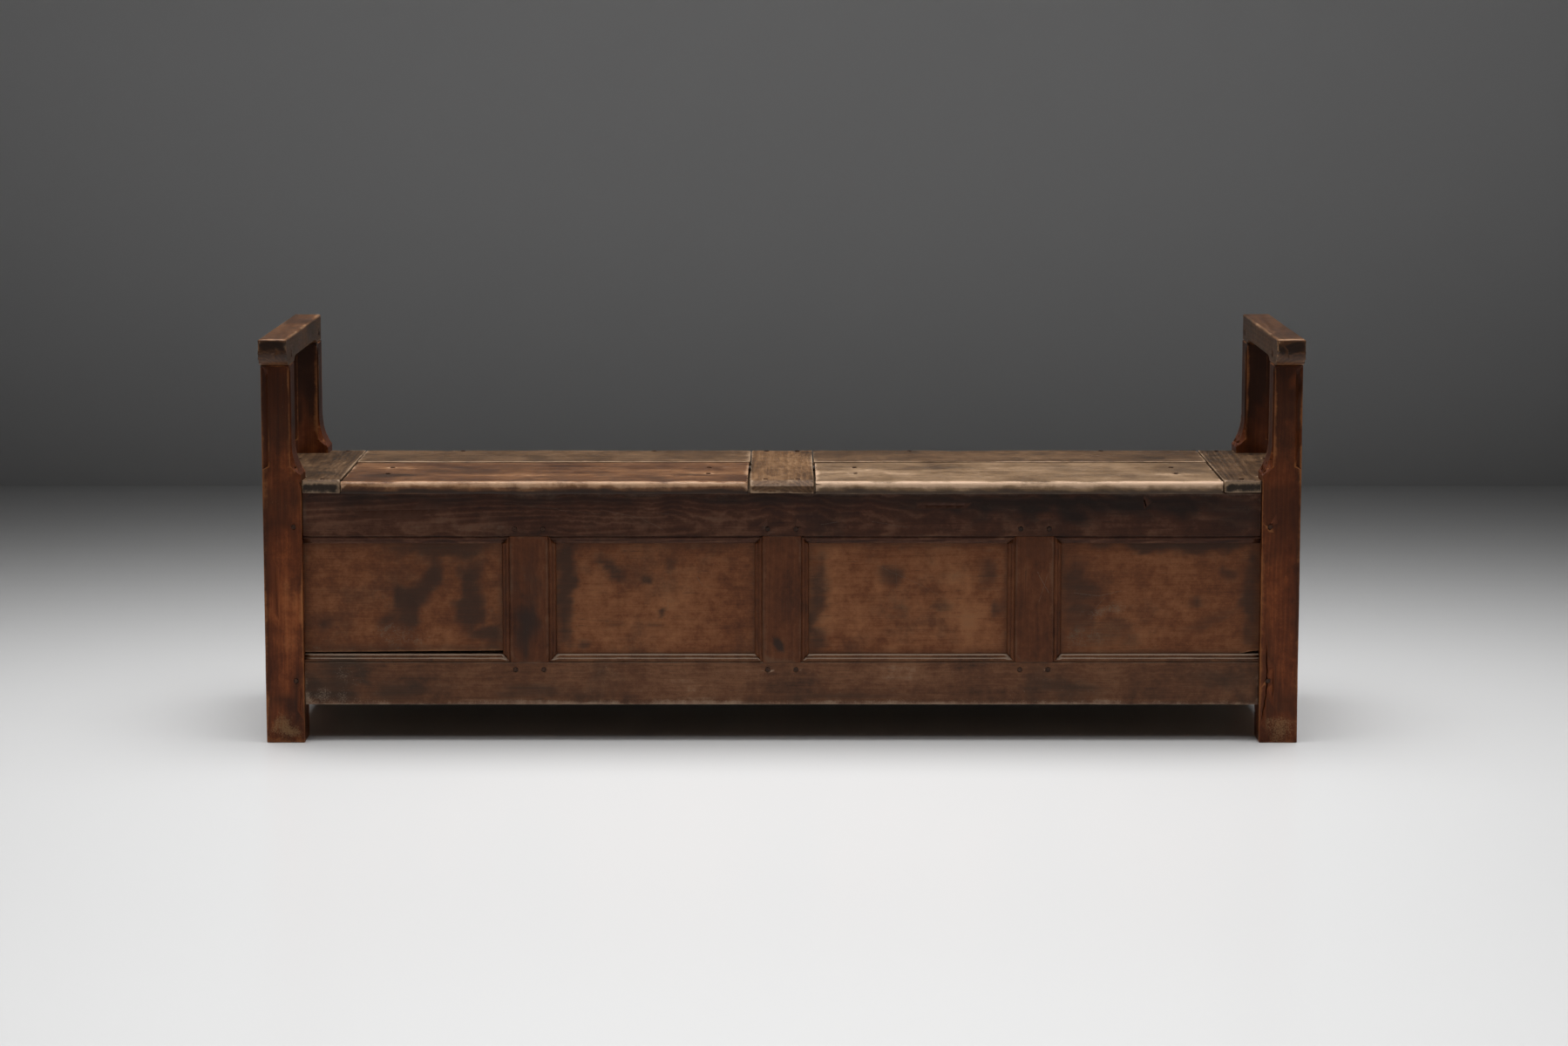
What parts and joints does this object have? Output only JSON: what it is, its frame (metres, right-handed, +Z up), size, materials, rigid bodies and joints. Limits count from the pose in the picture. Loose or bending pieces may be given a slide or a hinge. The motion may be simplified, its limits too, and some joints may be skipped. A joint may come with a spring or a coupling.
{
  "type": "settle bench",
  "caption": "Panelled oak settle bench with an arm rail on posts at each end and a chest under the seat, reached through hinged seat lids.",
  "frame": {"origin": "on the floor, at the middle of the overall box", "axes": "+X along the length towards the viewer's right, -Y the panelled front, +Z up"},
  "size_m": [1.9012, 0.448, 0.752],
  "materials": {
    "post_oak": "waxed, worn oak, reddish brown",
    "arm_oak": "hand-polished oak, golden at the worn edges",
    "rail_oak": "waxed, darkened oak",
    "panel_oak": "waxed oak with dark stains",
    "seat_oak": "dry, grey-brown oak",
    "lid_oak": "worn oak, lighter at the front edge",
    "back_oak": "unfinished grey oak",
    "inner_oak": "unfinished brown oak",
    "peg_oak": "end grain of oak pegs",
    "forged_iron": "dark forged iron"
  },
  "bodies": {
    "frame": {"front_post_left": "post_oak", "front_post_right": "post_oak", "rear_post_left": "post_oak", "rear_post_right": "post_oak", "arm_rail_left": "arm_oak", "arm_rail_right": "arm_oak", "front_top_rail": "rail_oak", "front_bottom_rail": "rail_oak", "front_muntin_left": "rail_oak", "front_muntin_centre": "rail_oak", "front_muntin_right": "rail_oak", "front_panel_1": "panel_oak", "front_panel_2": "panel_oak", "front_panel_3": "panel_oak", "front_panel_4": "panel_oak", "side_top_rail_left": "rail_oak", "side_top_rail_right": "rail_oak", "side_bottom_rail_left": "rail_oak", "side_bottom_rail_right": "rail_oak", "side_panel_left": "panel_oak", "side_panel_right": "panel_oak", "back_top_rail": "back_oak", "back_plank_lower": "back_oak", "back_plank_middle": "back_oak", "back_plank_upper": "back_oak", "back_stud": "inner_oak", "seat_end_board_left": "seat_oak", "seat_end_board_right": "seat_oak", "seat_centre_board": "seat_oak", "seat_rear_board_left": "seat_oak", "seat_rear_board_right": "seat_oak", "seat_bearer_left": "inner_oak", "seat_bearer_centre": "inner_oak", "seat_bearer_right": "inner_oak", "floor_ledger_front": "inner_oak", "floor_ledger_rear": "inner_oak", "floor_board_1": "inner_oak", "floor_board_2": "inner_oak", "floor_board_3": "inner_oak", "floor_board_4": "inner_oak", "floor_board_5": "inner_oak", "floor_board_6": "inner_oak", "front_frame_pegs": "peg_oak", "rear_frame_pegs": "peg_oak", "side_frame_pegs": "peg_oak", "arm_pegs": "peg_oak", "seat_pegs": "peg_oak", "back_nails": "forged_iron", "floor_nails": "forged_iron", "pivot_pins_left": "forged_iron", "pivot_pins_right": "forged_iron"},
    "lid_left": {"lid_left_board": "lid_oak", "lid_left_batten_inner": "inner_oak", "lid_left_batten_outer": "inner_oak", "lid_left_pegs": "peg_oak"},
    "lid_right": {"lid_right_board": "lid_oak", "lid_right_batten_inner": "inner_oak", "lid_right_batten_outer": "inner_oak", "lid_right_pegs": "peg_oak"}
  },
  "joints": [
    {"name": "lid_left_hinge", "type": "hinge", "parent": "frame", "child": "lid_left", "pos_m": [-0.434, 0.036, 0.476], "axis": [-1, 0, 0], "range_deg": [0, 100]},
    {"name": "lid_right_hinge", "type": "hinge", "parent": "frame", "child": "lid_right", "pos_m": [0.434, 0.036, 0.476], "axis": [-1, 0, 0], "range_deg": [0, 100]}
  ]
}
